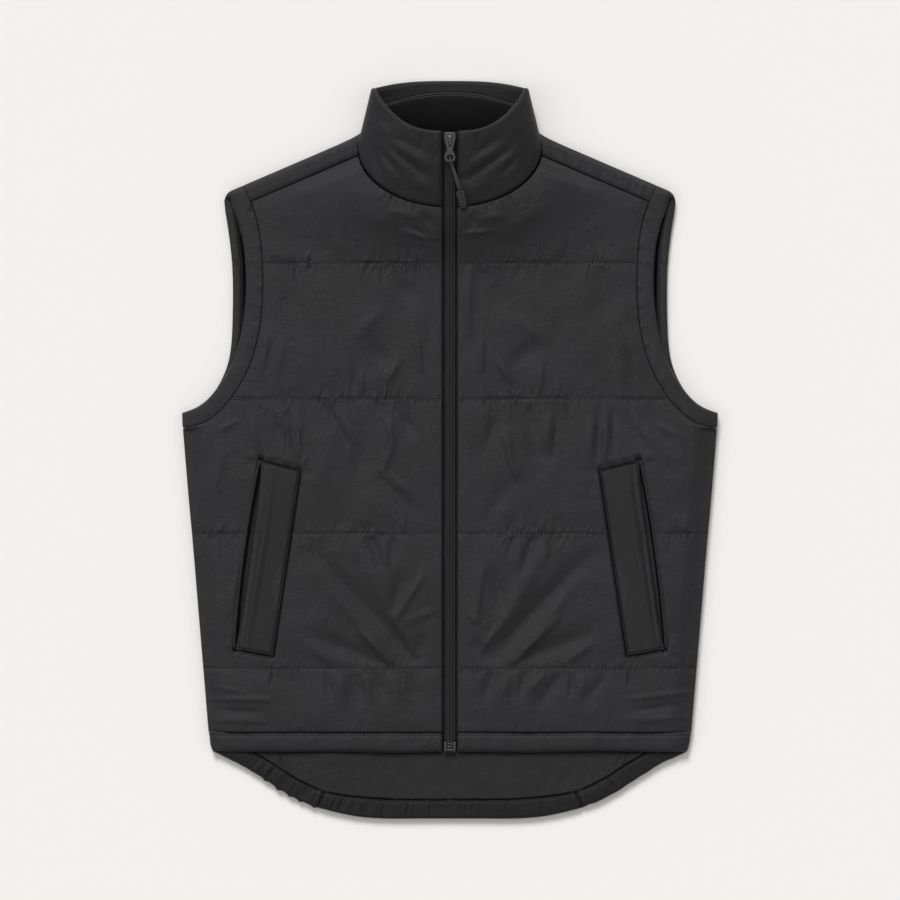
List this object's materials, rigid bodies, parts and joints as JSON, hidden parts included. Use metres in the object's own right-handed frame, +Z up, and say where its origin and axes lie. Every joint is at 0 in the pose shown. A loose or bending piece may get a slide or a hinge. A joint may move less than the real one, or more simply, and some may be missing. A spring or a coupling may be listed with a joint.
{
  "type": "puffer vest",
  "caption": "Padded sleeveless vest with a stand collar, full front zip, slanted hand pockets and a dropped back hem, laid flat.",
  "frame": {"origin": "middle of the vest's bounding box, on the surface it lies on", "axes": "+X to the wearer's left, +Y from the hem to the collar, +Z up from the surface, out of the vest's front"},
  "size_m": [0.568, 0.7831, 0.0468],
  "materials": {
    "shell": "dark charcoal plain-woven nylon, soft sheen",
    "lining": "dark smooth lining cloth",
    "tape": "black woven tape and cord",
    "dark_metal": "dark painted zinc, satin",
    "grip": "moulded soft plastic, matte"
  },
  "bodies": {
    "vest": {"back_panel": "shell", "back_lining": "lining", "back_hem_middle": "lining", "back_hem_left": "lining", "back_hem_right": "lining", "front_left": "shell", "front_right": "shell", "front_hem_left": "shell", "front_hem_right": "shell", "armhole_band_left": "shell", "armhole_band_right": "shell", "collar": "shell", "collar_facing": "shell", "collar_lining": "lining", "pocket_welt_left": "shell", "pocket_welt_right": "shell", "pocket_lip_left": "shell", "pocket_lip_right": "shell", "zip_tape_left": "tape", "zip_tape_right": "tape", "zip_box": "dark_metal", "zip_slider": "dark_metal"},
    "pull": {"zip_pull": "dark_metal", "pull_cord": "tape", "pull_grip": "grip"}
  },
  "joints": [
    {"name": "pull_hinge", "type": "hinge", "parent": "vest", "child": "pull", "pos_m": [0, 0.32629, 0.04363], "axis": [-1, 0, 0], "range_deg": [0, 165]}
  ]
}
